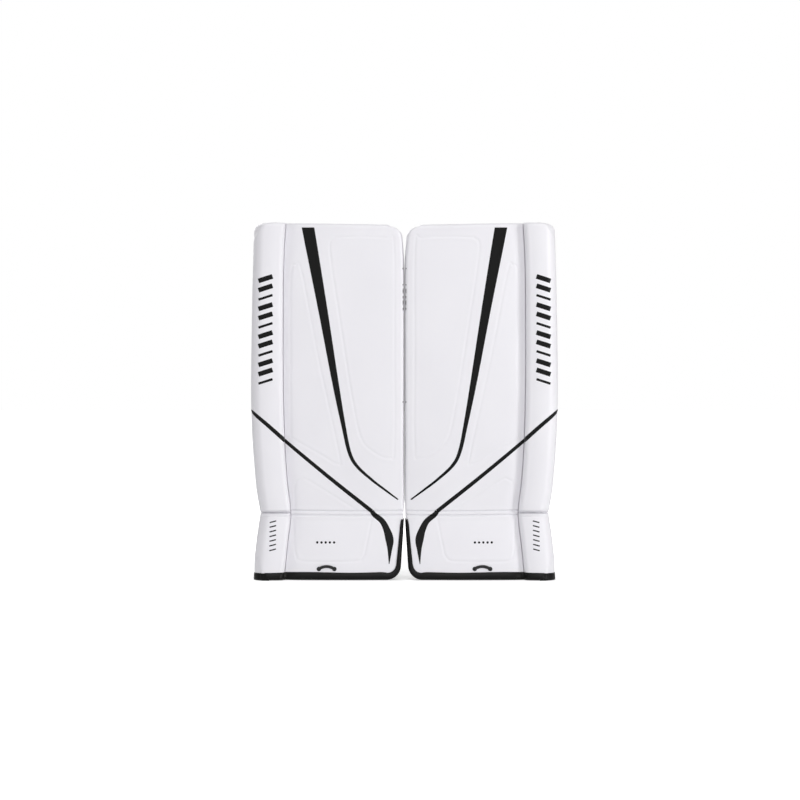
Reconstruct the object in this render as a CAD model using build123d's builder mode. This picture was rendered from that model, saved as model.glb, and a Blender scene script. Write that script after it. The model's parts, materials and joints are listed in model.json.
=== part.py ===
"""A pair of ice hockey goalie leg pads, each with its foam cores, covers, leg channel, wings and straps.

Axes: +Z up, -Y the front (the side that faces the puck), +X the wearer's left.
Origin: on the floor, midway between the two pads and midway between their front and back.
The right leg's pad is drawn on the -X side, and the left leg's pad is its mirror image about the YZ plane.
"""
from build123d import *
import os
from math import cos, radians, sin, tan

# Driving dimensions, in millimetres and degrees.
PAD_HEIGHT = 635.0  # floor to the top of the outer roll
HALF_GAP = 1.5  # from the YZ plane to the pad's inner side
SEAM_X = -213.0  # seam between the flat face and the outer roll
HALF_DEPTH = 98.0  # from the origin to the frontmost and the rearmost point
CORE_DEPTH = 39.0  # front of the face to the back of the foam core
ROLL_PROUD = 11.0  # how far the shin's outer roll stands in front of the face
BOOT_ROLL_PROUD = 7.0  # the same for the boot's outer roll
BOOT_TILT = 13.0  # forward lean of the boot section
BREAK_Z = 118.0  # height of the boot break
COVER = 1.5  # thickness of the synthetic leather skins
FIT_GAP = 0.2  # slack between a skin and its foam
BINDING = 1.2  # thickness of the black edge binding
STRIPE = 0.5  # thickness of the inlaid stripes
PANEL = 1.5  # thickness of the nylon back panels
BOARD = 1.6  # thickness of the plastic stiffener board
WING = 13.0  # thickness of the padded wings
STRAP = 2.5  # thickness of the hook-and-loop straps
PATCH = 1.2  # thickness of the loop patches and anchor tabs
CORD_RADIUS = 2.2  # toe loop cord

# Depths worked out from them. The boot's front bottom edge is the frontmost point.
BOOT_REACH = BREAK_Z * tan(radians(BOOT_TILT))  # how far the boot runs forward below the break
SKIN_SLANT = 1 / cos(radians(BOOT_TILT))  # a thickness measured along Y on the leaning boot
FACE_Y = -HALF_DEPTH + BOOT_ROLL_PROUD + BOOT_REACH + BINDING * SKIN_SLANT
ROLL_Y = FACE_Y - ROLL_PROUD
CORE_BACK_Y = FACE_Y + CORE_DEPTH
BOARD_Y = CORE_BACK_Y + FIT_GAP
PANEL_Y = BOARD_Y + BOARD + FIT_GAP
LEG_Y = PANEL_Y + PANEL + FIT_GAP  # the plane that the leg channel's pads are sewn to

SHIN_BOTTOM = BREAK_Z + 1.0
SHIN_MIDDLE = (SHIN_BOTTOM + PAD_HEIGHT) / 2
SHIN_LENGTH = PAD_HEIGHT - SHIN_BOTTOM
BOOT_TOP = BREAK_Z - 1.0
BREAK_GAP = 9.0  # extra room at the back of the break, which closes as the boot straightens
FAR = 400.0  # longer than any cut has to reach

FACE_CORNER = 18.0  # top inner corner in front view
ROLL_CORNER = 20.0  # top outer corner in front view
BOOT_CORNER = 24.0  # bottom inner corner in front view
FACE_EDGE = 7.0  # rounding of the flat face's edges
ROLL_EDGE = 16.0  # rounding of the shin roll's outer edge
BOOT_ROLL_EDGE = 12.0  # rounding of the boot roll's outer edge


def upright(y):
    """The XZ plane at depth y. Extruding from it by a negative amount runs towards the leg."""
    return Plane.XZ.offset(-y)


def seam_edge(shift):
    """Curve of the seam between face and roll, from the break to the top, moved sideways by shift."""
    return ThreePointArc(
        (SEAM_X + 9 + shift, SHIN_BOTTOM),
        (SEAM_X - 4 + shift, SHIN_MIDDLE),
        (SEAM_X + 1 + shift, PAD_HEIGHT),
    )


def boot_seam_edge(shift):
    """Curve of the same seam on the boot, from the floor to the break."""
    return ThreePointArc(
        (SEAM_X + 1 + shift, BINDING), (SEAM_X + 4 + shift, BREAK_Z / 2), (SEAM_X + 9 + shift, BOOT_TOP)
    )


def shin_outline():
    """Front view of the shin section's flat face."""
    with BuildSketch() as outline:
        with BuildLine():
            seam = seam_edge(FIT_GAP)
            Polyline(
                seam @ 1, (-7, PAD_HEIGHT - 4), (-HALF_GAP, 560), (-HALF_GAP, SHIN_BOTTOM), seam @ 0
            )
        make_face()
        corners = outline.vertices().filter_by(lambda corner: corner.X > -10).sort_by(Axis.Y)
        fillet(corners[-1], radius=FACE_CORNER)
        fillet(corners[-2], radius=20 * FACE_CORNER)
    return outline.sketch


def roll_outline():
    """Front view of the shin section's outer roll."""
    with BuildSketch() as outline:
        with BuildLine():
            seam = seam_edge(-FIT_GAP)
            side = ThreePointArc((-258, SHIN_BOTTOM), (-274.5, 340), (-267, PAD_HEIGHT))
            Line(seam @ 1, side @ 1)
            Line(seam @ 0, side @ 0)
        make_face()
        fillet(outline.vertices().sort_by(Axis.Y)[-2:].sort_by(Axis.X)[0], radius=ROLL_CORNER)
    return outline.sketch


def boot_outline():
    """Front view of the boot section's flat face, with its rounded inner bottom corner."""
    with BuildSketch() as outline:
        with BuildLine():
            seam = boot_seam_edge(FIT_GAP)
            Polyline(seam @ 0, (-10, BINDING), (-HALF_GAP, BOOT_TOP), seam @ 1)
        make_face()
        fillet(outline.vertices().group_by(Axis.Y)[0].sort_by(Axis.X)[-1], radius=BOOT_CORNER)
    return outline.sketch


def boot_roll_outline():
    """Front view of the boot section's outer roll."""
    with BuildSketch() as outline:
        with BuildLine():
            seam = boot_seam_edge(-FIT_GAP)
            side = ThreePointArc((-266, BINDING), (-265, BREAK_Z / 2), (-256, BOOT_TOP))
            Line(seam @ 0, side @ 0)
            Line(seam @ 1, side @ 1)
        make_face()
    return outline.sketch


def drawn_in(sketch, inset):
    """The outline drawn in by inset on every side, or let out where inset is negative."""
    with BuildSketch() as smaller:
        add(sketch)
        offset(amount=-inset, kind=Kind.ARC)
    return smaller.sketch


def distance_from_seam(edge):
    """Sideways distance from the seam between face and roll to the middle of an edge."""
    return abs(edge.center().X - SEAM_X)


def lean(z):
    """How far the leaning boot stands forward of the shin's plane at height z."""
    return (BREAK_Z - z) * tan(radians(BOOT_TILT))


def shin_block(outline, front_y, edge_radius, inset):
    """An upright block from front_y to the core's back, drawn in by inset on every side but the back."""
    with BuildPart() as block:
        with BuildSketch(upright(CORE_BACK_Y)):
            add(drawn_in(outline, inset))
        extrude(amount=CORE_BACK_Y - front_y - inset)
        front = block.faces().sort_by(Axis.Y)[0]
        above = front.edges().filter_by(lambda edge: edge.center().Z > SHIN_BOTTOM + 2 * COVER)
        fillet(above.filter_by(lambda edge: distance_from_seam(edge) > 15), radius=edge_radius - inset)
    return block.part


def boot_block(outline, proud, edge_radius, inset):
    """A leaning block under the break, standing proud of the face, drawn in by inset but for the back.

    Its outer front edge is rounded, unless edge_radius is 0.
    """
    front = FACE_Y - proud + inset * SKIN_SLANT
    front_top = BOOT_TOP - inset
    back_top = front_top - BREAK_GAP
    with BuildPart() as block:
        with BuildSketch(upright(FAR / 2)):
            add(drawn_in(outline, inset))
        extrude(amount=FAR)
        with BuildSketch(Plane.YZ):
            with BuildLine():
                Polyline(
                    (front - lean(front_top), front_top),
                    (front - lean(0), 0),
                    (CORE_BACK_Y - lean(0), 0),
                    (CORE_BACK_Y - lean(back_top), back_top),
                    close=True,
                )
            make_face()
        extrude(amount=-FAR, mode=Mode.INTERSECT)
        if edge_radius > inset:
            slanted = block.faces().sort_by(Axis.Y)[0]
            below = slanted.edges().filter_by(lambda edge: edge.center().Z < BOOT_TOP - 3 * COVER)
            fillet(below.sort_by(distance_from_seam)[-1], radius=edge_radius - inset)
    return block.part


FOAM_INSET = COVER + FIT_GAP

# Shin section: two foam cores in their skins, the stiffener board and the back panel.
BOARD_WIDTH = 186.0
PANEL_WIDTH = 248.0
BOOT_PANEL_WIDTH = 240.0
BOOT_PANEL_HEIGHT = 98.0
BACK_CORNER = 18.0

with BuildPart() as shin_cover:
    add(shin_block(shin_outline(), FACE_Y, FACE_EDGE, 0))
    add(shin_block(shin_outline(), FACE_Y, FACE_EDGE, COVER), mode=Mode.SUBTRACT)

with BuildPart() as shin_core:
    add(shin_block(shin_outline(), FACE_Y, FACE_EDGE, FOAM_INSET))

with BuildPart() as roll_cover:
    add(shin_block(roll_outline(), ROLL_Y, ROLL_EDGE, 0))
    add(shin_block(roll_outline(), ROLL_Y, ROLL_EDGE, COVER), mode=Mode.SUBTRACT)

with BuildPart() as roll_core:
    add(shin_block(roll_outline(), ROLL_Y, ROLL_EDGE, FOAM_INSET))

with BuildPart() as stiffener_board:
    with BuildSketch(upright(BOARD_Y)):
        with Locations((-108, SHIN_MIDDLE)):
            RectangleRounded(BOARD_WIDTH, SHIN_LENGTH - 24, BACK_CORNER)
    extrude(amount=-BOARD)

with BuildPart() as back_panel:
    with BuildSketch(upright(PANEL_Y)):
        with Locations((-131, SHIN_MIDDLE)):
            RectangleRounded(PANEL_WIDTH, SHIN_LENGTH - 6, BACK_CORNER)
    extrude(amount=-PANEL)

# Leg channel: everything here is sewn to the back panel and cushions the leg.
KNEE_LOW = 345.0
KNEE_HIGH = 482.0
CALF_LOW = 140.0
CALF_HIGH = 335.0
KNEE_MIDDLE = (KNEE_LOW + KNEE_HIGH) / 2
CALF_MIDDLE = (CALF_LOW + CALF_HIGH) / 2
KNEE_HEIGHT = KNEE_HIGH - KNEE_LOW
CALF_HEIGHT = CALF_HIGH - CALF_LOW
LEG_X = -133.0  # middle of the leg
LINER_WIDTH = 134.0
LINER_DEPTH = 11.0
THIGH_WIDTH = 196.0
THIGH_HEIGHT = 128.0
THIGH_DEPTH = 10.0
CRADLE_WIDTH = 136.0
CRADLE_DEPTH = 36.0
CRADLE_FLOOR = 14.0  # thickness of padding under the knee
CRADLE_CHANNEL = 86.0  # width of the hollow for the knee
KNEE_BLOCK_WIDTH = 56.0
KNEE_BLOCK_DEPTH = 64.0
CALF_BLOCK_WIDTH = 50.0
CALF_BLOCK_DEPTH = 56.0
BLOCK_EDGE = 6.0  # rounding of the two blocks
CUSHION_EDGE = 4.0  # rounding of the thin cushions

with BuildPart() as leg_liner:
    with BuildSketch(upright(LEG_Y)):
        with Locations((LEG_X + 3, CALF_MIDDLE)):
            RectangleRounded(LINER_WIDTH, CALF_HEIGHT, 4 * CUSHION_EDGE)
    extrude(amount=-LINER_DEPTH)
    fillet(leg_liner.faces().sort_by(Axis.Y)[-1].edges(), radius=CUSHION_EDGE)

with BuildPart() as thigh_pad:
    with BuildSketch(upright(LEG_Y)):
        with Locations((LEG_X + 11, KNEE_HIGH + 9 + THIGH_HEIGHT / 2)):
            RectangleRounded(THIGH_WIDTH, THIGH_HEIGHT, 5 * CUSHION_EDGE)
    extrude(amount=-THIGH_DEPTH)
    fillet(thigh_pad.faces().sort_by(Axis.Y)[-1].edges(), radius=CUSHION_EDGE)

with BuildPart() as knee_cradle:
    with BuildSketch(Plane.XY.offset(KNEE_LOW)):
        with Locations((LEG_X, LEG_Y)):
            Rectangle(CRADLE_WIDTH, CRADLE_DEPTH, align=(Align.CENTER, Align.MIN))
        with Locations((LEG_X, LEG_Y + CRADLE_FLOOR)):
            Rectangle(CRADLE_CHANNEL, CRADLE_DEPTH, align=(Align.CENTER, Align.MIN), mode=Mode.SUBTRACT)
    extrude(amount=KNEE_HEIGHT)
    uprights = knee_cradle.edges().filter_by(Axis.Z)
    fillet(uprights.filter_by_position(Axis.Y, LEG_Y + 1, FAR), radius=2 * CUSHION_EDGE)

with BuildPart() as knee_block:
    with BuildSketch(upright(LEG_Y)):
        with Locations((-5 - KNEE_BLOCK_WIDTH / 2, KNEE_MIDDLE)):
            RectangleRounded(KNEE_BLOCK_WIDTH, KNEE_HEIGHT, 2 * BLOCK_EDGE)
    extrude(amount=-KNEE_BLOCK_DEPTH)
    fillet(knee_block.faces().sort_by(Axis.Y)[-1].edges(), radius=BLOCK_EDGE)

with BuildPart() as calf_block:
    with BuildSketch(upright(LEG_Y)):
        with Locations((-6 - CALF_BLOCK_WIDTH / 2, CALF_MIDDLE)):
            RectangleRounded(CALF_BLOCK_WIDTH, CALF_HEIGHT, 2 * BLOCK_EDGE)
    extrude(amount=-CALF_BLOCK_DEPTH)
    fillet(calf_block.faces().sort_by(Axis.Y)[-1].edges(), radius=BLOCK_EDGE)

KNEE_STRAP_Z = 414.0
CALF_STRAP_Z = 238.0
STRAP_WIDTH = 38.0
STRAP_MARGIN = 5.0  # how much further the anchor tabs reach than the strap, above and below
PATCH_WIDTH = 36.0
PATCH_CORNER = 4.0

with BuildPart() as loop_patches:
    for block_depth, patch_z in ((KNEE_BLOCK_DEPTH, KNEE_STRAP_Z), (CALF_BLOCK_DEPTH, CALF_STRAP_Z)):
        with BuildSketch(upright(LEG_Y + block_depth)):
            with Locations((-14 - PATCH_WIDTH / 2, patch_z)):
                RectangleRounded(PATCH_WIDTH, STRAP_WIDTH + 2 * PATCH_CORNER, PATCH_CORNER)
        extrude(amount=-PATCH)

# Outer wings: padded walls that stand on the back panel's outer edge and curl round the leg.
SEWN_GAP = 0.5  # slack at a sewn hinge
WING_EDGE = 4.0
WING_HINGE = Vector(-236, LEG_Y + WING / 2 + SEWN_GAP)
knee_wing_arc = ThreePointArc(WING_HINGE, (-247, 22), (-228, 58))
calf_wing_arc = ThreePointArc(WING_HINGE, (-251, 28), (-226, 70))


def wall(path, thickness, low, high):
    """An upright wall of even thickness with round ends, which follows path seen from above."""
    with BuildPart() as made:
        with BuildSketch(Plane.XY.offset(low)):
            SlotArc(path, thickness)
        extrude(amount=high - low)
    return made.part


def outside(arc, share, distance):
    """The point that far outside a wing's middle line, at a share of its length."""
    middle = arc @ share
    return middle + (middle - arc.arc_center).normalized() * distance


def anchor_path(arc):
    """Path of the sewn tab that holds a strap to the outer face of a wing."""
    stand_off = WING / 2 + PATCH / 2 + FIT_GAP
    first, middle, last = (0.45, 0.67, 0.88)  # shares of the wing's length
    return ThreePointArc(*(outside(arc, share, stand_off) for share in (first, middle, last)))


def strap_root(arc):
    """Where a strap leaves its wing, just outside the wing's rear end."""
    return outside(arc, 1, WING / 2 + STRAP / 2 + SEWN_GAP)


STRAP_BEND = 16.0  # radius of a strap's bends


def strap_path(arc, landing_y):
    """Path of a strap from its wing, round behind the leg and onto the landing patch of the inner block."""
    back_y = HALF_DEPTH - STRAP / 2
    with BuildLine() as path:
        FilletPolyline(
            strap_root(arc),
            (-192, back_y),
            (-104, back_y),
            (-52, landing_y),
            (-16, landing_y),
            radius=STRAP_BEND,
        )
    return path.wire()


LANDING = PATCH + 2 * FIT_GAP + STRAP / 2  # block's back to the middle of the strap that lies on its patch

with BuildPart() as knee_wing:
    add(wall(knee_wing_arc, WING, KNEE_LOW, KNEE_HIGH))
    fillet(knee_wing.faces().filter_by(Axis.Z).edges(), radius=WING_EDGE)

with BuildPart() as calf_wing:
    add(wall(calf_wing_arc, WING, CALF_LOW, CALF_HIGH))
    fillet(calf_wing.faces().filter_by(Axis.Z).edges(), radius=WING_EDGE)

with BuildPart() as knee_strap_anchor:
    reach = STRAP_WIDTH / 2 + STRAP_MARGIN
    add(wall(anchor_path(knee_wing_arc), PATCH, KNEE_STRAP_Z - reach, KNEE_STRAP_Z + reach))

with BuildPart() as calf_strap_anchor:
    reach = STRAP_WIDTH / 2 + STRAP_MARGIN
    add(wall(anchor_path(calf_wing_arc), PATCH, CALF_STRAP_Z - reach, CALF_STRAP_Z + reach))

with BuildPart() as knee_strap:
    path = strap_path(knee_wing_arc, LEG_Y + KNEE_BLOCK_DEPTH + LANDING)
    add(wall(path, STRAP, KNEE_STRAP_Z - STRAP_WIDTH / 2, KNEE_STRAP_Z + STRAP_WIDTH / 2))

with BuildPart() as calf_strap:
    path = strap_path(calf_wing_arc, LEG_Y + CALF_BLOCK_DEPTH + LANDING)
    add(wall(path, STRAP, CALF_STRAP_Z - STRAP_WIDTH / 2, CALF_STRAP_Z + STRAP_WIDTH / 2))

# Boot section: the same build as the shin, leaning forward under the break.
with BuildPart() as boot_cover:
    add(boot_block(boot_outline(), 0, FACE_EDGE, 0))
    add(boot_block(boot_outline(), 0, FACE_EDGE, COVER), mode=Mode.SUBTRACT)

with BuildPart() as boot_core:
    add(boot_block(boot_outline(), 0, FACE_EDGE, FOAM_INSET))

with BuildPart() as boot_roll_cover:
    add(boot_block(boot_roll_outline(), BOOT_ROLL_PROUD, BOOT_ROLL_EDGE, 0))
    add(boot_block(boot_roll_outline(), BOOT_ROLL_PROUD, BOOT_ROLL_EDGE, COVER), mode=Mode.SUBTRACT)

with BuildPart() as boot_roll_core:
    add(boot_block(boot_roll_outline(), BOOT_ROLL_PROUD, BOOT_ROLL_EDGE, FOAM_INSET))

# The boot's own frame: from the face at the break, x across, y square into the boot, z up along it.
TILT_SIN = sin(radians(BOOT_TILT))
TILT_COS = cos(radians(BOOT_TILT))
boot_frame = Plane(origin=(0, FACE_Y, BREAK_Z), x_dir=(1, 0, 0), z_dir=(0, TILT_SIN, TILT_COS))
BOOT_DEPTH = CORE_DEPTH * TILT_COS  # square through the boot from face to back


def boot_upright(y):
    """The plane across the boot at local depth y, with local height as its second axis."""
    middle = boot_frame.from_local_coords((0, y, 0))
    return Plane(origin=middle, x_dir=(1, 0, 0), z_dir=(0, -TILT_COS, TILT_SIN))


with BuildPart() as boot_back_panel:
    with BuildSketch(boot_upright(BOOT_DEPTH + FIT_GAP)):
        with Locations((-133, -8 - BOOT_PANEL_HEIGHT / 2)):
            RectangleRounded(BOOT_PANEL_WIDTH, BOOT_PANEL_HEIGHT, BACK_CORNER)
    extrude(amount=-PANEL)

# Black binding: round the floor edge of the whole boot and up its inner edge.
BINDING_HEIGHT = 12.7
BINDING_SIDE = 6.0


def binding_wrap(outline, proud):
    """The strip of binding round one of the boot's blocks, before it is cut back to the boot's skin."""
    front = FACE_Y - proud - BINDING * SKIN_SLANT
    back = CORE_BACK_Y - BINDING
    with BuildPart() as wrap:
        with BuildSketch(upright(FAR / 2)):
            add(outline)
            offset(amount=BINDING, kind=Kind.ARC)
            with BuildLine():
                Polyline(
                    (-FAR, 0),
                    (0, 0),
                    (0, BOOT_TOP - 6),
                    (-HALF_GAP - 1, BOOT_TOP - 6),
                    (-HALF_GAP - 4 - BINDING_SIDE, 36),
                    (-28, BINDING_HEIGHT),
                    (-FAR, BINDING_HEIGHT),
                    close=True,
                )
            make_face(mode=Mode.INTERSECT)
        extrude(amount=FAR)
        with BuildSketch(Plane.YZ):
            with BuildLine():
                Polyline(
                    (front - lean(BOOT_TOP), BOOT_TOP),
                    (front - lean(-1), -1),
                    (back - lean(-1), -1),
                    (back - lean(BOOT_TOP), BOOT_TOP),
                    close=True,
                )
            make_face()
        extrude(amount=-FAR, mode=Mode.INTERSECT)
    return wrap.part


boot_blocks = ((boot_outline(), 0), (boot_roll_outline(), BOOT_ROLL_PROUD))

with BuildPart() as edge_binding:
    for outline, proud in boot_blocks:
        add(binding_wrap(outline, proud))
    for outline, proud in boot_blocks:
        add(boot_block(outline, proud, 0, 0), mode=Mode.SUBTRACT)

# Toe loop: an elastic cord between two eyelets, low on the boot's face.
TOE_X = -138.0
TOE_SPACING = 28.0
TOE_Z = 18.0
TOE_RISE = 6.5
EYELET_RADIUS = 4.6
EYELET_HOLE = 2.9
EYELET_HEIGHT = 1.2
CORD_STAND_OFF = EYELET_HEIGHT + FIT_GAP + CORD_RADIUS  # boot face to the middle of the cord

toe_height = -(BREAK_Z - TOE_Z) / TILT_COS
face_of_boot = boot_upright(0)
cord_plane = boot_upright(-CORD_STAND_OFF)

with BuildPart() as toe_eyelets:
    with BuildSketch(face_of_boot):
        with Locations((TOE_X - TOE_SPACING / 2, toe_height), (TOE_X + TOE_SPACING / 2, toe_height)):
            Circle(EYELET_RADIUS)
            Circle(EYELET_HOLE, mode=Mode.SUBTRACT)
    extrude(amount=EYELET_HEIGHT)

with BuildPart() as toe_cord:
    with BuildLine(cord_plane):
        loop = ThreePointArc(
            (TOE_X - TOE_SPACING / 2, toe_height),
            (TOE_X, toe_height + TOE_RISE),
            (TOE_X + TOE_SPACING / 2, toe_height),
        )
    with BuildSketch(Plane(origin=loop @ 0, z_dir=loop % 0)):
        Circle(CORD_RADIUS)
    sweep(path=loop)
    with Locations(loop @ 0, loop @ 1):
        Sphere(CORD_RADIUS)

# Ankle strap: a webbing band behind the skate, sewn to the boot's back on a tab at each side.
ANKLE_UP = -52.0  # along the boot, below the break
ANKLE_WIDTH = 28.0
ANKLE_MARGIN = 4.0
ANKLE_STAND_OFF = 5.5  # boot's back to the ends of the band
ANKLE_BEND = 64.0  # radius of the band's two bends round the heel
ANKLE_TAB = 24.0
ANKLE_REACH = BOOT_DEPTH + 104.0
ANKLE_ROOT = Vector(-237, BOOT_DEPTH + ANKLE_STAND_OFF)
ANKLE_END = Vector(-26, BOOT_DEPTH + ANKLE_STAND_OFF)


def boot_level(height):
    """The plane square to the boot at a local height: x across, y out of the boot's back."""
    return boot_frame.offset(height)


with BuildPart() as ankle_strap_anchors:
    with BuildSketch(boot_level(ANKLE_UP - ANKLE_WIDTH / 2 - ANKLE_MARGIN)):
        for end in (ANKLE_ROOT, ANKLE_END):
            with Locations((end.X, BOOT_DEPTH + PANEL + 2 * FIT_GAP)):
                Rectangle(ANKLE_TAB, PATCH, align=(Align.CENTER, Align.MIN))
    extrude(amount=ANKLE_WIDTH + 2 * ANKLE_MARGIN)

with BuildPart() as ankle_strap:
    with BuildLine() as path:
        FilletPolyline(
            ANKLE_ROOT, (ANKLE_ROOT.X, ANKLE_REACH), (ANKLE_END.X, ANKLE_REACH), ANKLE_END, radius=ANKLE_BEND
        )
    with BuildSketch(boot_level(ANKLE_UP - ANKLE_WIDTH / 2)):
        SlotArc(path.wire(), STRAP)
    extrude(amount=ANKLE_WIDTH)

# Black inlaid stripes on the front, one outline each, left as thin sheets on the skin they decorate.
STRIPE_TOP = PAD_HEIGHT - FACE_EDGE - 6

with BuildPart() as shin_stripes:
    with BuildSketch(upright(FACE_Y)):
        with BuildLine():
            right = Spline((-160, STRIPE_TOP), (-118, 355), (-102, 262), (-82, 202), (-56, 174))
            left = Spline((-183, STRIPE_TOP), (-130, 355), (-113, 272), (-92, 206), (-62, 172))
            Line(left @ 0, right @ 0)
            tip = Spline(right @ 1, (-10.5, 143), tangents=[right % 1, (1, -0.55)])
            Spline(left @ 1, (-10.5, 139.5), tangents=[left % 1, (1, -0.55)])
            Line(tip @ 1, (-10.5, 139.5))
        make_face()
        with BuildLine():
            Polyline(
                (-208, 248), (-133, 184.5), (-54, 121), (-63, 121), (-133, 175.5), (-208, 238), close=True
            )
        make_face()
    extrude(amount=STRIPE)
    with BuildSketch(upright(ROLL_Y)):
        with BuildLine():
            Polyline((-255, 288), (-219, 257), (-219, 247), (-255, 280), close=True)
        make_face()
    extrude(amount=STRIPE)

with BuildPart() as boot_stripe:
    with BuildSketch(face_of_boot):
        with BuildLine():
            outer = Spline((-50, -3), (-34, -14), (-23, -36), (-19, -54), tangents=[(1, -0.6), (0.1, -1)])
            tail = Spline(outer @ 1, (-27, -91), tangents=[outer % 1, (-0.35, -1)])
            inner = Spline((-60, -3), (-40, -22), (-31, -50), (-28, -82), (-27, -91))
            Line(inner @ 0, outer @ 0)
        make_face()
    extrude(amount=STRIPE)

PAD_PIECES = {
    "shin_core": shin_core,
    "shin_cover": shin_cover,
    "roll_core": roll_core,
    "roll_cover": roll_cover,
    "stiffener_board": stiffener_board,
    "back_panel": back_panel,
    "leg_liner": leg_liner,
    "thigh_pad": thigh_pad,
    "knee_cradle": knee_cradle,
    "knee_block": knee_block,
    "calf_block": calf_block,
    "loop_patches": loop_patches,
    "shin_stripes": shin_stripes,
    "knee_wing": knee_wing,
    "knee_strap_anchor": knee_strap_anchor,
    "knee_strap": knee_strap,
    "calf_wing": calf_wing,
    "calf_strap_anchor": calf_strap_anchor,
    "calf_strap": calf_strap,
    "boot_core": boot_core,
    "boot_cover": boot_cover,
    "boot_roll_core": boot_roll_core,
    "boot_roll_cover": boot_roll_cover,
    "boot_back_panel": boot_back_panel,
    "edge_binding": edge_binding,
    "toe_eyelets": toe_eyelets,
    "toe_cord": toe_cord,
    "ankle_strap_anchors": ankle_strap_anchors,
    "ankle_strap": ankle_strap,
    "boot_stripe": boot_stripe,
}

# The right leg's pieces are written as drawn, and the left leg's are their mirror images.
os.makedirs("parts", exist_ok=True)
for name, piece in PAD_PIECES.items():
    piece.part.label = f"right_{name}"
    export_step(piece.part, f"parts/right_{name}.step")
    with BuildPart() as twin:
        mirror(piece.part, about=Plane.YZ)
    twin.part.label = f"left_{name}"
    export_step(twin.part, f"parts/left_{name}.step")
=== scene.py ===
"""The looks of a pair of ice hockey goalie leg pads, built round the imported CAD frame.

Lengths are in millimetres while a shape is worked out, and turn into metres when its mesh is made.
Every shape is worked out for the right leg's pad (on the -X side) and mirrored for the left leg's.
Front view words: "outer" is away from the other pad (-X), "inner" is towards it, "front" is -Y.
"""
import json
import math

import bmesh
import bpy
import numpy as np
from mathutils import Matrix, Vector
from mathutils.bvhtree import BVHTree


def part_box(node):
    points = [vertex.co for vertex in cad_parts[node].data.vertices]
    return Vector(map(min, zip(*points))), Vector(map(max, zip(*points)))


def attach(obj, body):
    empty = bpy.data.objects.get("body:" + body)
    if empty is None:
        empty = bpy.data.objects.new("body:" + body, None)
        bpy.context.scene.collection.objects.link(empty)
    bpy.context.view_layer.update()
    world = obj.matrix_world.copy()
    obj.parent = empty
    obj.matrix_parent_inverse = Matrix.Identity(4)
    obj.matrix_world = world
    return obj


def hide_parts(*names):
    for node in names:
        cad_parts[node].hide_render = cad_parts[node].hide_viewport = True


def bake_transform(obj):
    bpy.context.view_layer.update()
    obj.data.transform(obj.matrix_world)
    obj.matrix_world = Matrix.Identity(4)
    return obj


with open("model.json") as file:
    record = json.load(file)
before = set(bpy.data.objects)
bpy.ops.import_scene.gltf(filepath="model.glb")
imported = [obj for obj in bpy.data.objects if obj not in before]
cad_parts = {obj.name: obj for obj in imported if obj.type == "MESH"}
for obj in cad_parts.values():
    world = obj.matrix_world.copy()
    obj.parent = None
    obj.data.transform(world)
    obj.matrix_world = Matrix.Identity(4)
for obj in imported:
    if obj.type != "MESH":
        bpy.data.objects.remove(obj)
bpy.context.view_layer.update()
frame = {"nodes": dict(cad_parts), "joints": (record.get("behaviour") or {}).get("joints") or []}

MM = 0.001
JOINTS = {joint["name"]: joint for joint in frame["joints"]}


def cad_box(node):
    """A CAD node's lowest and highest corner in millimetres."""
    low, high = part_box(node)
    return np.array(low) / MM, np.array(high) / MM


# --- places, from the frame
face_low, face_high = cad_box("right_shin_cover")
roll_low = cad_box("right_roll_cover")[0]
boot_high = cad_box("right_boot_cover")[1]
panel_low, panel_high = cad_box("right_back_panel")

FACE_Y = face_low[1]
BACK_Y = face_high[1]
TOP_Z = face_high[2]
BREAK_Z = (face_low[2] + boot_high[2]) / 2
INNER_X = face_high[0]
DEPTH = BACK_Y - FACE_Y
ROLL_PROUD = FACE_Y - roll_low[1]
ankle_axis = JOINTS["right_ankle_strap_open"]["axis"]
LEAN = ankle_axis[1] / ankle_axis[2]


# --- small tools for curves and meshes
def catmull(points, per_span=12):
    """A smooth curve through the points, as an array of points."""
    p = np.asarray(points, float)
    ends = np.vstack([2 * p[0] - p[1], p, 2 * p[-1] - p[-2]])
    t = np.linspace(0, 1, per_span, endpoint=False)[:, None]
    spans = []
    for a, b, c, d in zip(ends, ends[1:], ends[2:], ends[3:]):
        square = 2 * a - 5 * b + 4 * c - d
        cube = 3 * b - a - 3 * c + d
        spans.append(0.5 * (2 * b + (c - a) * t + square * t**2 + cube * t**3))
    return np.vstack(spans + [p[-1:]])


def through(*points):
    """A function of height that runs smoothly through (height, value) points."""
    curve = catmull(points)
    return lambda z: np.interp(z, curve[:, 0], curve[:, 1])


def resample(path, count):
    """The same path with evenly spaced points."""
    path = np.asarray(path, float)
    reach = np.concatenate([[0], np.cumsum(np.linalg.norm(np.diff(path, axis=0), axis=1))])
    at = np.linspace(0, reach[-1], count)
    return np.stack([np.interp(at, reach, path[:, k]) for k in range(path.shape[1])], axis=1)


def length_of(path):
    """Length of a path."""
    return np.linalg.norm(np.diff(np.asarray(path, float), axis=0), axis=1).sum()


def distance_to(path, x, z):
    """Distance in front view from each point (x, z) to a path."""
    best = np.full(np.shape(x), 1e9)
    for (x0, z0), (x1, z1) in zip(path, path[1:]):
        dx, dz = x1 - x0, z1 - z0
        share = np.clip(((x - x0) * dx + (z - z0) * dz) / (dx * dx + dz * dz + 1e-12), 0, 1)
        best = np.minimum(best, np.hypot(x - x0 - share * dx, z - z0 - share * dz))
    return best


def directions(path, closed=False):
    """Unit vectors along a path, one at each of its points."""
    path = np.asarray(path, float)
    ahead = np.roll(path, -1, axis=0) - np.roll(path, 1, axis=0) if closed else np.gradient(path, axis=0)
    return ahead / np.linalg.norm(ahead, axis=1)[:, None]


def sideways(path):
    """Unit vectors to the right of a path seen from above."""
    ahead = directions(path)
    return np.stack([ahead[:, 1], -ahead[:, 0]], axis=1)


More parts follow.
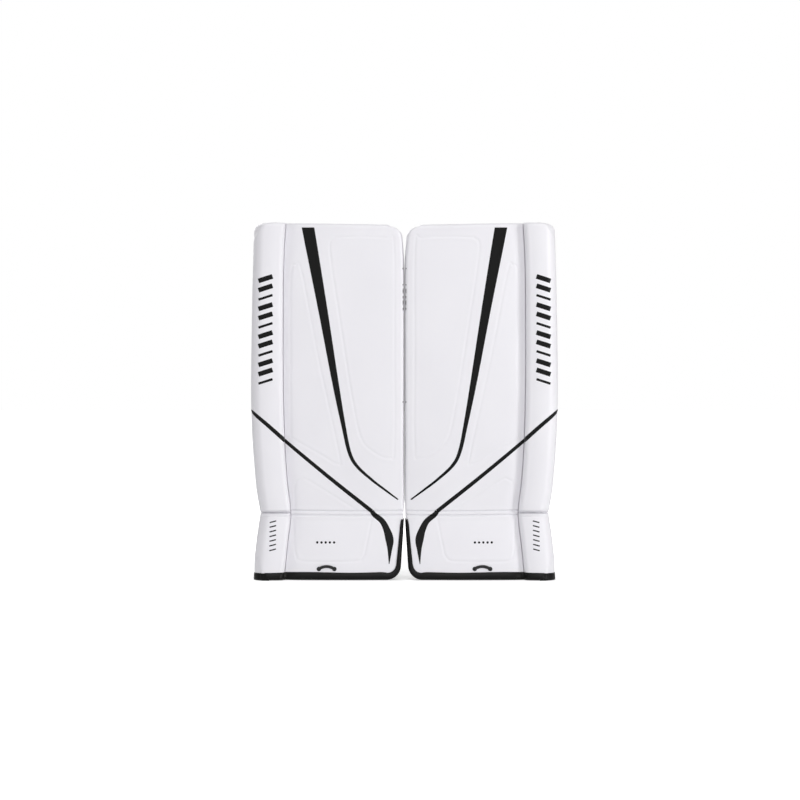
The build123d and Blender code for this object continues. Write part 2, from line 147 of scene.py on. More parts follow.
def bell(distance, width):
    """1 at no distance, falling softly to nothing over a few widths."""
    return np.exp(-((distance / width) ** 2))


def ease(value, low, high):
    """0 below low, 1 above high and a smooth step between them."""
    t = np.clip((value - low) / (high - low), 0, 1)
    return t * t * (3 - 2 * t)


def loft(rings, capped=True):
    """Points and faces of a skin over closed rings, an array of ring by point by coordinate."""
    rings = np.asarray(rings, float)
    count, size, _ = rings.shape
    index = np.arange(count * size).reshape(count, size)
    beside = np.roll(index, -1, axis=1)
    quads = np.stack([index[:-1], beside[:-1], beside[1:], index[1:]], axis=-1).reshape(-1, 4)
    faces = quads.tolist()
    if capped:
        faces.append(index[0][::-1].tolist())
        faces.append(index[-1].tolist())
    return rings.reshape(-1, 3), faces


def joined(*shapes):
    """Several (points, faces) shapes as one."""
    points, faces, base = [], [], 0
    for pts, fcs in shapes:
        points.append(pts)
        faces += [[i + base for i in f] for f in fcs]
        base += len(pts)
    return np.vstack(points), faces


MOST_SMOOTH_SIDES = 24  # a face with more sides than this is a flat end cap and stays flat


def new_object(name, shape, material):
    """A smooth shaded mesh object from a shape in millimetres, with its faces turned outwards."""
    points, faces = shape
    mesh = bpy.data.meshes.new(name)
    mesh.from_pydata((np.asarray(points) * MM).tolist(), [], faces)
    tool = bmesh.new()
    tool.from_mesh(mesh)
    bmesh.ops.recalc_face_normals(tool, faces=tool.faces)
    tool.to_mesh(mesh)
    tool.free()
    mesh.shade_smooth()
    for face in mesh.polygons:
        face.use_smooth = len(face.vertices) <= MOST_SMOOTH_SIDES
    mesh.materials.append(material)
    made = bpy.data.objects.new(name, mesh)
    bpy.context.scene.collection.objects.link(made)
    return made


def both_sides(name, shape, material, body="pad", bend=None, stands_for=()):
    """The piece on both pads: as drawn on the right one and mirrored on the left one.

    bend is (body before, body after, start, end) for a piece that crosses a joint, in millimetres; only
    whether it is given is used: such a piece keeps its place baked into its mesh and is tied to no body, and
    nothing bends it.
    A piece stands for the CAD nodes in stands_for, or else for the node of its own name if there is one.
    """
    points, faces = shape
    for side, sign in (("right", 1), ("left", -1)):
        turned = np.asarray(points) * (sign, 1, 1)
        label = f"{side}_{name}"
        own_node = label in frame["nodes"]
        piece = new_object(label + "_sewn" if own_node else label, (turned, faces), material)
        if bend:
            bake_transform(piece)
        else:
            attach(piece, f"{side}_{body}")
        nodes = stands_for or ([name] if own_node else [])
        if nodes:
            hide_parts(*(f"{side}_{node}" for node in nodes))


# --- materials
class Nodes:
    """A short way to write a procedural material: each call adds one node and links its inputs."""

    def __init__(self, name):
        self.material = bpy.data.materials.new(name)
        self.material.use_nodes = True
        self.tree = self.material.node_tree
        self.surface = self.tree.nodes["Principled BSDF"]
        self.place = self.tree.nodes.new("ShaderNodeTexCoord").outputs["Object"]

    def add(self, kind, out=0, settings=None, **inputs):
        node = self.tree.nodes.new(kind)
        for key, value in (settings or {}).items():
            setattr(node, key, value)
        for key, value in inputs.items():
            self.feed(node.inputs[int(key[1:]) if key[0] == "_" else key.replace("_", " ")], value)
        return node.outputs[out]

    def feed(self, socket, value):
        if isinstance(value, bpy.types.NodeSocket):
            self.tree.links.new(value, socket)
        else:
            socket.default_value = value

    def noise(self, scale, detail=2.0, rough=0.5):
        return self.add("ShaderNodeTexNoise", Vector=self.place, Scale=scale, Detail=detail,
                        Roughness=rough)

    def cells(self, scale):
        return self.add("ShaderNodeTexVoronoi", Vector=self.place, Scale=scale)

    def waves(self, scale, direction, shift=0.0):
        settings = {"wave_type": "BANDS", "bands_direction": direction}
        return self.add("ShaderNodeTexWave", 1, settings, Vector=self.place, Scale=scale,
                        Phase_Offset=shift)

    def math(self, operation, a, b=0.0):
        return self.add("ShaderNodeMath", 0, {"operation": operation}, _0=a, _1=b)

    def spread(self, value, low, high):
        """value from 0..1 moved to low..high."""
        return self.add("ShaderNodeMapRange", _0=value, _3=low, _4=high)

    def mix(self, share, first, second):
        node = self.tree.nodes.new("ShaderNodeMix")
        node.data_type = "RGBA"
        self.feed(node.inputs[0], share)
        self.feed(node.inputs[6], first)
        self.feed(node.inputs[7], second)
        return node.outputs[2]

    def bump(self, height, strength, distance=0.3 * MM, under=None):
        inputs = {"Height": height, "Strength": strength, "Distance": distance}
        if under is not None:
            inputs["Normal"] = under
        return self.add("ShaderNodeBump", **inputs)

    def finish(self, color, roughness, normal, **more):
        self.feed(self.surface.inputs["Base Color"], color)
        self.feed(self.surface.inputs["Roughness"], roughness)
        self.feed(self.surface.inputs["Normal"], normal)
        for key, value in more.items():
            self.feed(self.surface.inputs[key.replace("_", " ")], value)
        return self.material


def rgba(value, tint=(1, 1, 1)):
    """An opaque colour from one brightness and a tint."""
    return (value * tint[0], value * tint[1], value * tint[2], 1)


def leather(name, light, dark, rough, grain, depth, sheen=0.1):
    """Synthetic leather: fine cell grain over a soft unevenness, with faint cloudy colour."""
    n = Nodes(name)
    cloud = n.noise(9, 3)
    pores = n.cells(grain)
    fine = n.noise(grain * 2.2, 2)
    color = n.mix(n.spread(cloud, 0.15, 0.85), light, dark)
    uneven = n.bump(n.noise(28, 2), 0.12, 1.2 * MM)
    grained = n.bump(n.math("ADD", pores, fine), depth, 0.08 * MM, uneven)
    gloss = n.spread(n.noise(60, 3), rough - 0.05, rough + 0.07)
    shine = 0.42 if light[0] > 0.1 else 0.14
    return n.finish(color, gloss, grained, Sheen_Weight=sheen, Specular_IOR_Level=shine)


RIB_SCALE = 0.314  # the wave texture's scale that gives one rib to the metre


def woven(name, color, rough, pitch, depth, sheen):
    """Plain weave: two crossed sets of ribs, painted shade between the ribs, threads that vary in
    brightness, and a soft nap.
    """
    n = Nodes(name)
    scale = RIB_SCALE / (pitch * MM)
    warp = n.waves(scale, "X")
    weft = n.waves(scale, "Z", math.pi / 2)
    cloth = n.math("MAXIMUM", warp, weft)
    fuzz = n.noise(1500, 2)
    # The colour darkens between the ribs, where the weave's bump is low: painted shade in its hollows,
    # multiplied by a random thread tone.
    rib_shade_and_tone = n.math("MULTIPLY", n.spread(cloth, 0.62, 1.15), n.spread(n.noise(35, 3), 0.85, 1.15))
    tinted = n.mix(n.math("MULTIPLY", rib_shade_and_tone, 0.7), rgba(0.004), color)
    height = n.math("ADD", cloth, n.math("MULTIPLY", fuzz, 0.35))
    return n.finish(tinted, n.spread(fuzz, rough - 0.05, rough + 0.08), n.bump(height, depth, 0.25 * MM),
                    Sheen_Weight=sheen, Sheen_Roughness=0.5)


def foam(name, color):
    """Closed cell foam: fine open bubbles on a dull body."""
    n = Nodes(name)
    bubbles = n.cells(1300)
    tint = n.mix(n.spread(bubbles, 0.2, 0.9), color, rgba(color[0] * 0.75))
    return n.finish(tint, 0.85, n.bump(bubbles, 0.5, 0.2 * MM))


def plastic(name, color, rough):
    """Sheet plastic with a faint milled texture and small scuffs."""
    n = Nodes(name)
    scuff = n.noise(220, 5, 0.7)
    return n.finish(n.mix(n.spread(scuff, 0, 0.4), color, rgba(color[0] * 0.8)),
                    n.spread(scuff, rough - 0.08, rough + 0.12), n.bump(scuff, 0.2, 0.05 * MM))


def metal(name, color, rough):
    """Blackened metal with fine wear."""
    n = Nodes(name)
    wear = n.noise(700, 4, 0.7)
    return n.finish(n.mix(n.spread(wear, 0, 0.3), color, rgba(0.1)), n.spread(wear, rough, rough + 0.2),
                    n.bump(wear, 0.15, 0.03 * MM), Metallic=1.0)


WHITE_SKIN = leather("white_skin", rgba(0.84, (0.995, 0.985, 1.02)), rgba(0.79, (0.995, 0.98, 1.03)),
                     0.43, 1100, 0.2)
BLOCK_SKIN = leather("block_skin", rgba(0.80, (1, 0.995, 1.01)), rgba(0.74, (1, 0.99, 1.01)), 0.5, 800, 0.3)
BLACK_SKIN = leather("black_skin", rgba(0.006), rgba(0.009), 0.4, 900, 0.3, 0.0)
BINDING_SKIN = leather("binding_skin", rgba(0.005), rgba(0.008), 0.38, 700, 0.4, 0.0)
PANEL_CLOTH = woven("panel_cloth", rgba(0.02), 0.62, 1.6, 0.6, 0.08)
WING_CLOTH = woven("wing_cloth", rgba(0.017), 0.58, 1.3, 0.5, 0.08)
LINER_KNIT = woven("liner_knit", rgba(0.075, (1, 1, 1.06)), 0.85, 2.2, 0.9, 0.3)
WEBBING = woven("webbing", rgba(0.014), 0.66, 1.8, 0.9, 0.1)
LOOP_CLOTH = woven("loop_cloth", rgba(0.03), 0.95, 1.1, 0.7, 0.3)
CORD_SHEATH = woven("cord_sheath", rgba(0.012), 0.6, 0.6, 0.7, 0.05)
WHITE_THREAD = woven("white_thread", rgba(0.9), 0.6, 0.3, 0.3, 0.2)
BLACK_THREAD = woven("black_thread", rgba(0.03), 0.6, 0.3, 0.3, 0.2)
FOAM = foam("foam", rgba(0.55, (1, 1, 1.05)))
BOARD = plastic("board", rgba(0.78, (1, 1, 0.97)), 0.5)
EYELET_METAL = metal("eyelet_metal", rgba(0.012), 0.4)

# --- outlines in front view
SEAM = through((-10, -214), (12, -212.5), (63, -208), (BREAK_Z, -203), (177, -209.5), (252, -214),
               (355, -216.5), (499, -216.5), (579, -215), (TOP_Z + 10, -211))
OUTER = through((-10, -265), (8, -266.5), (34, -267), (75, -263.5), (BREAK_Z - 6, -258.5),
                (BREAK_Z, -257), (BREAK_Z + 6, -258.8), (177, -266.5), (303, -274), (487, -272.5),
                (605, -269.5), (TOP_Z + 10, -268))
INNER = through((-10, INNER_X - 9), (34, INNER_X - 5.2), (BREAK_Z, INNER_X), (200, INNER_X), (350, INNER_X),
                (520, INNER_X), (580, INNER_X - 1.2), (TOP_Z + 10, INNER_X - 6.5))
TOP_SLOPE = 3.4  # how much lower the top's inner end is than the roll's end
FACE_CORNER = 17.0
BOOT_CORNER = 24.0
ROLL_CORNER = 15.0
EDGE = 6.5  # rounding of the face's free edges
SHOULDER = 11.0  # rounding of the roll's inner shoulder
FOLD_FOOT = 603.0  # lowest point of the turned-in top corner of the roll
FLOOR_Z = 1.2  # the covers stop here and the binding wraps the rest
BACK_GAP = 0.2  # the covers stop this far in front of the CAD's back
MIDDLE_GAP = 0.2  # a pad comes no closer than this to the plane between the pads


def corner_cut(rise, radius):
    """How far an outline draws in at a rounded corner, rise below the corner's end."""
    into = np.clip(radius - rise, 0, radius)
    return radius - np.sqrt(np.maximum(radius**2 - into**2, 0))


def inner_edge(z):
    """X of the face's inner edge, with its rounded top and bottom corners."""
    top = TOP_Z - TOP_SLOPE
    return INNER(z) - corner_cut(top - z, FACE_CORNER) - corner_cut(z - FLOOR_Z, BOOT_CORNER)


def outer_edge(z):
    """X of the roll's outer edge, with its folded top corner."""
    return OUTER(z) + corner_cut(TOP_Z - z, ROLL_CORNER)


def lean(z):
    """How far the boot leans forward at height z, bending softly at the break."""
    below = BREAK_Z - z
    return LEAN * (below + np.sqrt(below**2 + 25)) / 2


# --- sewn lines on the face
BREAK_SEAMS = (BREAK_Z - 4.2, BREAK_Z + 3.2)
PANEL_SEAMS = [
    catmull([(-203, 252), (-203.5, 400), (-203, 540), (-193, 560), (-183, 545), (-152, 385), (-117, 224),
             (-119, 205), (-150, 222), (-203, 252)]),
    catmull([(-124, 610), (-75, 612), (-32, 610), (-19, 598), (-18, 420), (-18, 235), (-26, 216), (-50, 223),
             (-77, 250), (-93, 320), (-112, 440), (-133, 585), (-124, 610)]),
    catmull([(-195, BREAK_Z + 4), (-196, 165), (-184, 178), (-172, 176), (-128, 149), (-84, BREAK_Z + 4)]),
    catmull([(-59, 105), (-68, 60), (-74, 40), (-92, 33), (-178, 33), (-193, 44), (-197, 80), (-198, 105)]),
]


def groove(distance, depth, width):
    """Depth of a sewn line pressed into padding, with a faint swelling beside it."""
    return depth * (bell(distance, width) - 0.18 * bell(distance - 3 * width, 2 * width))


def face_front(x, z):
    """Y of the face's front skin, apart from its rounded edges."""
    across = (x - SEAM(z)) / (INNER(z) - SEAM(z))
    crown = 4.6 * np.clip(1 - np.abs(2 * across - 1) ** 3, 0, 1) ** 0.8
    valley = 4.2 * bell(x - SEAM(z), 13.0)
    waves = 0.7 * np.sin(x * 0.045 + 1.3 * np.sin(z * 0.011)) * np.sin(z * 0.021 + 0.8)
    sewn = sum(groove(distance_to(path, x, z), 0.62, 1.5) for path in PANEL_SEAMS)
    creases = sum(groove(np.abs(z - level - 0.6 * np.sin(x * 0.02)), 2.3, 1.4) for level in BREAK_SEAMS)
    return FACE_Y - lean(z) - crown - waves + valley + sewn + creases


def roll_front(x, z):
    """Y of the outer roll's crest, apart from its rounded shoulders."""
    proud = ROLL_PROUD - 4.0 * ease(BREAK_Z - z, -6, 10)
    across = (x - OUTER(z)) / (SEAM(z) - OUTER(z))
    crown = 5.2 * (1 - (2 * across - 1) ** 2)
    waves = 0.3 * np.sin(z * 0.031 + 0.5 * np.sin(x * 0.09)) + 0.15 * np.sin(z * 0.083 + 1.7)
    spread = np.where(z > BREAK_Z, 3.0, 1.4)
    crease = 7.5 * bell(z - BREAK_Z, spread) + 2.2 * bell(z - BREAK_Z, 0.9)
    crease = crease + 0.7 * bell(z - BREAK_Z + 6.5, 1.0)
    fold = 4.4 * ease(z - FOLD_FOOT - 1.8 * (x - OUTER(z)), 0, 3)
    fold = fold + 2.6 * ease(42 - z - 4.3 * (x - OUTER(z) - 7), 0, 9) * ease(42 - z, 0, 6)
    return FACE_Y - proud - lean(z) - crown - waves + crease + fold


def heights(top, edge, fine):
    """Ring heights from the floor to the top, close together at both ends and at the break.

    Returns (height, inset) pairs: inset grows over the rounded end, up to edge.
    """
    turns = np.linspace(0, np.pi / 2, 9)
    low = [(FLOOR_Z + edge - edge * math.sin(a), edge - edge * math.cos(a)) for a in turns[::-1]]
    high = [(top - edge + edge * math.sin(a), edge - edge * math.cos(a)) for a in turns]
    below = np.arange(FLOOR_Z + edge + fine, BREAK_Z - 9, fine)
    beside = np.arange(BREAK_Z - 9, BREAK_Z + 9, 0.6)
    above = np.arange(BREAK_Z + 9, top - edge - fine / 2, fine)
    middle = [(z, 0.0) for z in np.concatenate([below, beside, above])]
    return low + middle + high


def quarter(radius, count):
    """A quarter turn as two lists: how far along it has gone and how far it has dropped."""
    turns = np.linspace(0, np.pi / 2, count)
    return radius * np.sin(turns), radius - radius * np.cos(turns)


def round_off(distance, radius):
    """Drop of a rounded edge at a distance inside it."""
    short = np.clip(radius - distance, 0, radius)
    return radius - np.sqrt(np.maximum(radius**2 - short**2, 0))


def roll_skin(x, z):
    """Y of the roll's front skin with its wide outer shoulder and tight inner shoulder."""
    outer = outer_edge(z)
    turned = np.sqrt(np.clip(1 - np.clip(1 - (x - outer) / ROLL_SPREAD, 0, 1) ** 2, 0, 1))
    flat_end = SEAM(z) - SEAM_GAP - SHOULDER
    front = roll_front(np.minimum(x, flat_end), z)
    return front + ROLL_TURN * (1 - turned) + round_off(SEAM(z) - SEAM_GAP - x, SHOULDER)


def face_skin(x, z):
    """Y of the face's front skin with its rounded free edges."""
    top = TOP_Z - sag_at(x, z)
    front = face_front(np.minimum(x, inner_edge(z) - EDGE), z)
    return front + round_off(inner_edge(z) - x, EDGE) + round_off(top - z, EDGE)


def front_skin(x, z):
    """Y of the pad's front skin, roll and face together."""
    return np.where(x < SEAM(z), roll_skin(x, z), face_skin(x, z))


def sag_at(x, z):
    """How far the top slopes down towards the inner end."""
    return TOP_SLOPE * ease(z, TOP_Z - 90, TOP_Z) * np.clip((x - SEAM_MID) / (INNER_X - SEAM_MID), 0, 1)


SEAM_MID = float(SEAM(TOP_Z))
ROLL_SPREAD = 19.0
ROLL_TURN = 21.0
LIP = 1.8  # rounding of the face where it tucks in beside the roll
SEAM_GAP = 0.25


def face_ring(z, inset, steps, tuck=0.0):
    """One closed ring round the face section at height z, seen from above, drawn in all round by tuck."""
    seam = SEAM(z) + SEAM_GAP + tuck
    inner = inner_edge(z) - inset - tuck
    back = BACK_Y - lean(z) - BACK_GAP - tuck
    run = np.linspace(seam + LIP, inner - EDGE, steps)
    front = face_front(run, np.full_like(run, z)) + inset + tuck
    along, down = quarter(EDGE, 8)
    turn_x = inner - EDGE + along[1:]
    turn_y = front[-1] + down[1:]
    side_y = np.linspace(turn_y[-1], back, 14)[1:]
    swell = 0.2 + 1.2 * ease(z, BREAK_Z, BREAK_Z + 40)
    bulge = swell * np.sin(np.pi * np.linspace(0, 1, 14)[1:])
    side_x = inner + np.minimum(bulge, -MIDDLE_GAP - inner)
    back_x = np.linspace(inner, seam, 12)[1:]
    wall_y = np.linspace(back, front[0] + LIP, 6)[1:]
    lip_along, lip_down = quarter(LIP, 4)
    lip_x = seam + lip_down[1:-1]
    lip_y = front[0] + LIP - lip_along[1:-1]
    xs = np.concatenate([run, turn_x, side_x, back_x, np.full(5, seam), lip_x])
    ys = np.concatenate([front, turn_y, side_y, np.full(11, back), wall_y, lip_y])
    return np.stack([xs, ys, z - sag_at(xs, z)], axis=1)


def roll_ring(z, inset, steps, tuck=0.0):
    """One closed ring round the outer roll at height z, seen from above, drawn in all round by tuck."""
    seam = SEAM(z) - SEAM_GAP - tuck
    outer = outer_edge(z) + inset + tuck
    back = BACK_Y - lean(z) - BACK_GAP - tuck
    turns = np.linspace(0, np.pi / 2, 14)
    rise_x = outer + ROLL_SPREAD * (1 - np.cos(turns))
    run = np.concatenate([rise_x, np.linspace(outer + ROLL_SPREAD, seam - SHOULDER, steps)[1:]])
    level = np.full_like(run, z)
    turned = np.concatenate([np.sin(turns), np.ones(steps - 1)])
    front = roll_front(run, level) + ROLL_TURN * (1 - turned) + inset + tuck
    along, down = quarter(SHOULDER, 7)
    turn_x = seam - SHOULDER + along[1:]
    turn_y = front[-1] + down[1:]
    wall_y = np.linspace(turn_y[-1], back, 8)[1:]
    back_x = np.linspace(seam, outer + 8, 8)[1:]
    heel_along, heel_down = quarter(8, 6)
    heel_x = outer + 8 - heel_along[1:]
    heel_y = back - heel_down[1:]
    side_y = np.linspace(heel_y[-1], front[0], 7)[1:-1]
    xs = np.concatenate([run, turn_x, np.full(7, seam), back_x, heel_x, np.full(5, outer)])
    ys = np.concatenate([front, turn_y, wall_y, np.full(7, back), heel_y, side_y])
    return np.stack([xs, ys, np.full_like(xs, z)], axis=1)


def tube(path, radius, sides=12, closed=False):
    """A round cord along a path. radius is one number, or one for each point of the path."""
    path = np.asarray(path, float)
    ahead = directions(path, closed)
    up = np.cross(ahead[0], (0.3, 0.2, 1.0))
    turns = np.linspace(0, 2 * np.pi, sides, endpoint=False)
    radii = np.full(len(path), radius) if np.isscalar(radius) else np.asarray(radius)
    rings = []
    for point, way, size in zip(path, ahead, radii):
        up = up - way * np.dot(up, way)
        up /= np.linalg.norm(up)
        side = np.cross(way, up)
        rings.append(point + size * (np.outer(np.cos(turns), up) + np.outer(np.sin(turns), side)))
    if closed:
        points, faces = loft(rings, capped=False)
        last = (len(rings) - 1) * sides
        shift = int(np.argmin(np.linalg.norm(rings[0] - rings[-1][0], axis=1)))
        for k in range(sides):
            after = (k + 1) % sides
            faces.append([last + k, last + after, (after + shift) % sides, (k + shift) % sides])
        return points, faces
    return loft(rings)


def facing(skin, x, z, step=0.4):
    """Unit vectors standing out of a skin at points (x, z)."""
    slope_x = (skin(x + step, z) - skin(x - step, z)) / (2 * step)
    slope_z = (skin(x, z + step) - skin(x, z - step)) / (2 * step)
    ways = np.stack([slope_x, np.full_like(x, -1.0), slope_z], axis=1)
    return ways / np.linalg.norm(ways, axis=1)[:, None]


def strip_on(skin, path, half_width, lift=0.45, sink=1.0, across=9, level_start=0):
    """A thin closed strip that lies on a skin along a path in front view, following its relief.

    level_start is over how many of its first points the strip turns from lying level to its own way.
    """
    ahead = directions(path)
    side = np.stack([-ahead[:, 1], ahead[:, 0]], axis=1)
    if level_start:
        turned = np.clip(np.arange(len(path)) / level_start, 0, 1)[:, None]
        side = side * turned + np.sign(side[0, 0]) * np.array((1.0, 0)) * (1 - turned)
    half = np.full(len(path), half_width) if np.isscalar(half_width) else np.asarray(half_width)
    shares = np.linspace(-1, 1, across)
    rings = []
    for point, way, wide in zip(path, side, half):
        flat = point + np.outer(shares * wide, way)
        seam = SEAM(flat[:, 1])
        if skin is roll_skin:
            flat[:, 0] = np.minimum(flat[:, 0], seam - 0.3)
        if skin is face_skin:
            flat[:, 0] = np.maximum(flat[:, 0], seam + 0.3)
        base = np.stack([flat[:, 0], skin(flat[:, 0], flat[:, 1]), flat[:, 1]], axis=1)
        ways = facing(skin, flat[:, 0], flat[:, 1])
        height = lift * np.sqrt(np.clip(1 - np.abs(shares) ** 6, 0, 1))
        top = base + ways * height[:, None]
        under = (base - ways * sink)[::-1]
        rings.append(np.vstack([top, under]))
    return loft(rings)


FINE = 1.5
BEND = ("boot_section", "pad", (0, FACE_Y, BREAK_Z - 11), (0, FACE_Y, BREAK_Z + 11))

face_steps = int((INNER_X - SEAM(300)) / FINE)
face_rings = [face_ring(z, inset, face_steps) for z, inset in heights(TOP_Z, EDGE, FINE)]
both_sides("face_cover", loft(face_rings), WHITE_SKIN, bend=BEND,
           stands_for=("shin_cover", "boot_cover"))

roll_rings = [roll_ring(z, inset, int(36 / FINE)) for z, inset in heights(TOP_Z, EDGE, FINE)]
both_sides("outer_roll", loft(roll_rings), WHITE_SKIN, bend=BEND,
           stands_for=("roll_cover", "boot_roll_cover"))

# --- foam inside the covers
TUCK = 2.2  # how far the foam stays inside its cover


def foam_rings(ring, steps, low, high):
    """Rings of a foam core between two heights, with slightly eased ends."""
    edges = [(low, 2.0), (low + 1, 0.7), (low + 3, 0)]
    edges += [(z, 0.0) for z in np.arange(low + 8, high - 8, 8.0)]
    edges += [(high - 3, 0), (high - 1, 0.7), (high, 2.0)]
    return loft([ring(z, 0.0, steps, TUCK + eased) for z, eased in edges])


FOAM_TOP = TOP_Z - TOP_SLOPE - 6
for above, below, ring, steps in (("shin_core", "boot_core", face_ring, 60),
                                  ("roll_core", "boot_roll_core", roll_ring, 16)):
    both_sides(above, foam_rings(ring, steps, BREAK_Z + 7, FOAM_TOP), FOAM)
    both_sides(below, foam_rings(ring, steps, FLOOR_Z + 5, BREAK_Z - 7), FOAM,
               body="boot_section")


# --- black stripes and marks on the front
def tapered(skin, knots, count, **more):
    """A strip through (x, z, half width) knots."""
    line = resample(catmull(knots), count)
    return strip_on(skin, line[:, :2], line[:, 2], **more)


upper_stripe = tapered(face_skin, [(-172, TOP_Z - 8.5, 11.3), (-145.5, 480, 8.3), (-124, 355, 5.9),
                                   (-109, 275, 3.9), (-98.5, 227, 3.3), (-85.5, 202, 2.9),
                                   (-58.5, 177, 2.3), (-35, 159, 1.9), (-11.5, 141.5, 1.2)],
                       220, across=15, level_start=12)
lower_stripe = tapered(face_skin, [(SEAM(247) - 1.5, 248, 3.1), (-133, 180, 3.4), (-58.5, 121, 3.6)], 120)
both_sides("shin_stripes", joined(upper_stripe, lower_stripe), BLACK_SKIN)

boot_stripe = tapered(face_skin, [(-58.5, 121, 3.6), (-53.5, 114.5, 4.4), (-40, 103.5, 5.0), (-32, 89, 6.0),
                                  (-26.6, 71, 7.3), (-26.2, 52, 3.9), (-27.4, 28, 0.5)], 100, across=13)
both_sides("boot_stripe", boot_stripe, BLACK_SKIN, bend=BEND)

roll_stripe = tapered(roll_skin, [(-273.4, 301.5, 1.0), (-266, 293.5, 3.0), (-240, 271.5, 3.5),
                                  (SEAM(248) + 2.0, 246, 3.6)], 60)
marks = [roll_stripe]
BAR_PITCH = 16.6
BAR_TILT = 8.0
for row in range(12):
    level = 348 + BAR_PITCH * row
    bar = resample([(-259.5, level), (-234.5, level + BAR_TILT)], 26)
    marks.append(strip_on(roll_skin, bar, 4.3 if row % 3 else 2.2, lift=0.3))
both_sides("roll_marks", joined(*marks), BLACK_SKIN)

boot_marks = []
DASH_PITCH = 8.2
DOT_PITCH = 7.5
for row in range(7):
    level = 52 + DASH_PITCH * row
    bar = resample([(-239.5, level), (-228, level + 3)], 14)
    boot_marks.append(strip_on(roll_skin, bar, 1.1, lift=0.25))
for column in range(5):
    turns = np.linspace(0, 2 * np.pi, 20, endpoint=False)
    middle = np.array((-140 + DOT_PITCH * (column - 2), 66))
    rings = []
    for reach, lift in ((0.2, 0.3), (1.7, 0.3), (2.1, 0.1), (2.1, -0.8), (0.2, -0.8)):
        x = middle[0] + reach * np.cos(turns)
        z = middle[1] + reach * np.sin(turns)
        rings.append(np.stack([x, face_skin(x, z) - lift, z], axis=1))
    boot_marks.append(loft(rings))
both_sides("boot_marks", joined(*boot_marks), BLACK_SKIN, body="boot_section")

# Short black thread dashes along the inner edge, where the gap between the pads shows dark: partly the black
# strap pieces seen in the gap, partly painted shade standing in for the gap's shadow.
knots = []
for low, high in ((552, 555), (479, 484), (488, 497), (500, 505), (509, 518), (523, 526), (314, 317)):
    z = np.linspace(low, high, 5)
    x = INNER(z) - 1.2
    knots.append(tube(np.stack([x, face_skin(x, z) - 0.3, z], axis=1), [0.3, 0.6, 0.7, 0.6, 0.3], 8))
both_sides("gap_strap_bits_and_painted_shade", joined(*knots), BLACK_THREAD)

# --- black binding round the boot's floor edge
BINDING_TOP = 12.6
BINDING_OUT = 1.25
CORNER_X = INNER_X - 9 - BOOT_CORNER  # where the boot's bottom edge starts to turn up


def edge_station(run):
    """Where the boot's bottom edge is, run past the start of its inner corner, and its inward direction."""
    turn = np.clip(run / BOOT_CORNER, 0, math.pi / 2)
    centre = np.array((INNER(BOOT_CORNER) - BOOT_CORNER, FLOOR_Z + BOOT_CORNER))
    if run < 0:
        return np.array((centre[0] + run, FLOOR_Z)), np.array((0.0, 1.0))
    climb = run - BOOT_CORNER * math.pi / 2
    if climb > 0:
        z = centre[1] + climb
        return np.array((INNER(z), z)), np.array((-1.0, 0.0))
    outward = np.array((math.sin(turn), -math.cos(turn)))
    return centre + BOOT_CORNER * outward, -outward


def binding_section(run):
    """One closed section of the binding: front flange, over the edge, back flange and back inside."""
    edge, inward = edge_station(run)
    height = np.interp(run, (-10, 12, 40, 110, 124), (BINDING_TOP, 11, 7.5, 5.5, 3.0))
    height += 0.6 * math.sin(run * 0.04 + 1.0) * (run < 0)
    shares = np.linspace(1, 0.02, 9)
    wall = []
    for out in (BINDING_OUT, 0.1):
        flange = edge + np.outer(shares * height, inward)
        skin_y = front_skin(np.minimum(flange[:, 0], inner_edge(flange[:, 1]) - EDGE), flange[:, 1])
        back_y = BACK_Y - lean(flange[:, 1]) - BACK_GAP
        rounding = round_off(shares * height, 3.0)
        plump = 0.7 * np.sin(np.pi * shares) * (out > 1)
        front = np.column_stack([flange[:, 0], skin_y + rounding - out - plump, flange[:, 1]])
        rear = np.column_stack([flange[:, 0], back_y - rounding + out * 0.8, flange[:, 1]])[::-1][:5]
        rim = edge - inward * (out - 0.1)
        depths = np.linspace(front[-1][1], rear[0][1], 8)[1:-1]
        under = np.column_stack([np.full(6, rim[0]), depths, np.full(6, rim[1])])
        wall.append(np.vstack([front, under, rear]))
    return np.vstack([wall[0], wall[1][::-1]])


runs = np.concatenate([np.arange(OUTER(6) + 16 - CORNER_X + 0.01, -1, 3.0), np.arange(0, 40, 1.5),
                       np.arange(41, 122, 3.0)])
strip_of_binding = loft([binding_section(run) for run in runs])


# the binding turns round the roll's outer end: (height, distance out of the roll) round its section
END_SECTION = ((0, 0.3), (0.4, 1.5), (2, 2.0), (6, 1.7), (11, 1.5), (12.4, 1.1), (12.7, 0.5), (12.5, -0.2),
               (6, -0.5), (0, -0.5))
END_LEVEL = 7.0  # the height at which the roll's outline is taken
end_ring = roll_ring(END_LEVEL, 0, 12)[:, :2]
end_turn = resample(np.vstack([end_ring[-17:], end_ring[:18]]), 70)
end_rings = []
for point, out in zip(end_turn, sideways(end_turn)):
    spots = [(*(point + out * far), level) for level, far in END_SECTION]
    end_rings.append([(x, y - (END_LEVEL - level) * LEAN, level) for x, y, level in spots])
both_sides("edge_binding", joined(strip_of_binding, loft(end_rings)), BINDING_SKIN,
           body="boot_section")

# --- toe loop
cord_low, cord_high = cad_box("right_toe_cord")
CORD_R = 2.6
CORD_HALF = (cord_high[0] - cord_low[0]) / 2 - 0.5 * CORD_R
TOE_ROOT = np.array(JOINTS["right_toe_loop_swing"]["pos_m"]) / MM
TILT = math.atan(LEAN)
BOOT_UP = np.array((0, math.sin(TILT), math.cos(TILT)))
BOOT_IN = np.array((0, math.cos(TILT), -math.sin(TILT)))
CORD_RISE = 5.0
CORD_LIFT = 1.8  # how far the cord stands out from its swing axis
CORD_DIVE = 0.92  # share of the half span at which the cord goes into its eyelets
EYELET_OUTER = 3.9
EYELET_HOLE = 2.5
EYELET_PROUD = 0.9


